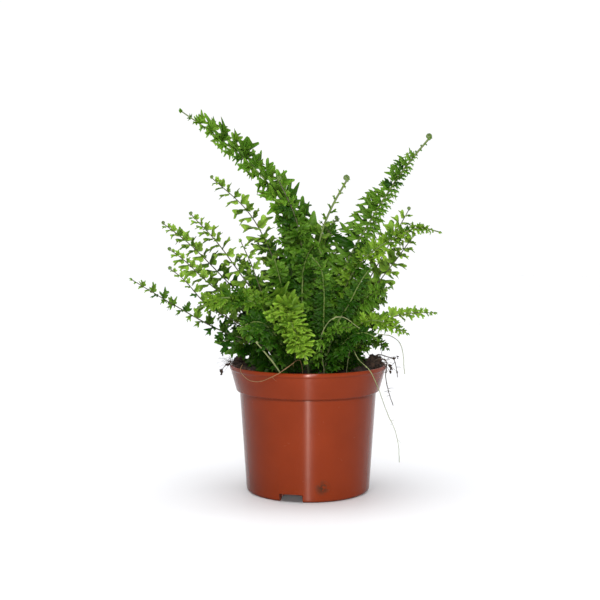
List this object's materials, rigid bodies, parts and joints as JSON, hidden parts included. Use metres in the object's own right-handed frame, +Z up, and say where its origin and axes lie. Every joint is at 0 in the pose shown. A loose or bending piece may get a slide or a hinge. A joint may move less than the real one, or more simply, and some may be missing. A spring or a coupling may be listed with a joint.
{
  "type": "potted fern",
  "caption": "Small fern with finely cut, pointed leaflets on arching fronds, growing in dark soil in a tapered terracotta-coloured plastic nursery pot.",
  "frame": {"origin": "on the pot's axis, on the surface that the pot stands on", "axes": "+Z up along the pot's axis, +X to the right and -Y to the front as the picture shows the plant"},
  "size_m": [0.1721, 0.0944, 0.2068],
  "materials": {
    "pot_plastic": "satin terracotta-coloured moulded plastic",
    "potting_soil": "dark damp peat with crumbs and bits of bark",
    "leaf_bright": "young yellow-green leaf, soft sheen",
    "leaf_mid": "green leaf, soft sheen",
    "leaf_dark": "dark green leaf, soft sheen",
    "stem_pale": "pale green-tan runner, matt",
    "root_dark": "dark brown wiry root, matt"
  },
  "bodies": {
    "root": {"pot": "pot_plastic", "soil": "potting_soil", "runner_arching": "stem_pale", "runner_hanging": "stem_pale", "root_right_front": "root_dark", "root_right": "root_dark", "root_front": "root_dark", "shoot_front_left": "stem_pale", "frond_01": "leaf_mid", "frond_02": "leaf_dark", "frond_03": "leaf_mid", "frond_04": "leaf_bright", "frond_05": "leaf_mid", "frond_06": "leaf_mid", "frond_07": "leaf_dark", "frond_08": "leaf_dark", "frond_09": "leaf_bright", "frond_10": "leaf_mid", "frond_11": "leaf_mid", "frond_12": "leaf_bright", "frond_13": "leaf_bright", "frond_14": "leaf_mid", "frond_15": "leaf_bright", "frond_16": "leaf_mid", "frond_17": "leaf_mid", "frond_18": "leaf_dark", "frond_19": "leaf_mid", "frond_20": "leaf_bright", "frond_21": "leaf_mid", "frond_22": "leaf_mid", "frond_23": "leaf_bright", "frond_24": "leaf_bright", "frond_25": "leaf_dark", "frond_26": "leaf_dark", "frond_27": "leaf_mid", "frond_28": "leaf_mid", "frond_29": "leaf_bright", "frond_30": "leaf_dark", "frond_31": "leaf_mid", "frond_32": "leaf_dark", "frond_33": "leaf_bright", "frond_34": "leaf_mid", "frond_35": "leaf_mid", "frond_36": "leaf_mid", "frond_37": "leaf_mid", "frond_38": "leaf_dark", "frond_39": "leaf_mid", "frond_40": "leaf_mid", "frond_41": "leaf_bright", "frond_42": "leaf_mid"}
  },
  "joints": []
}
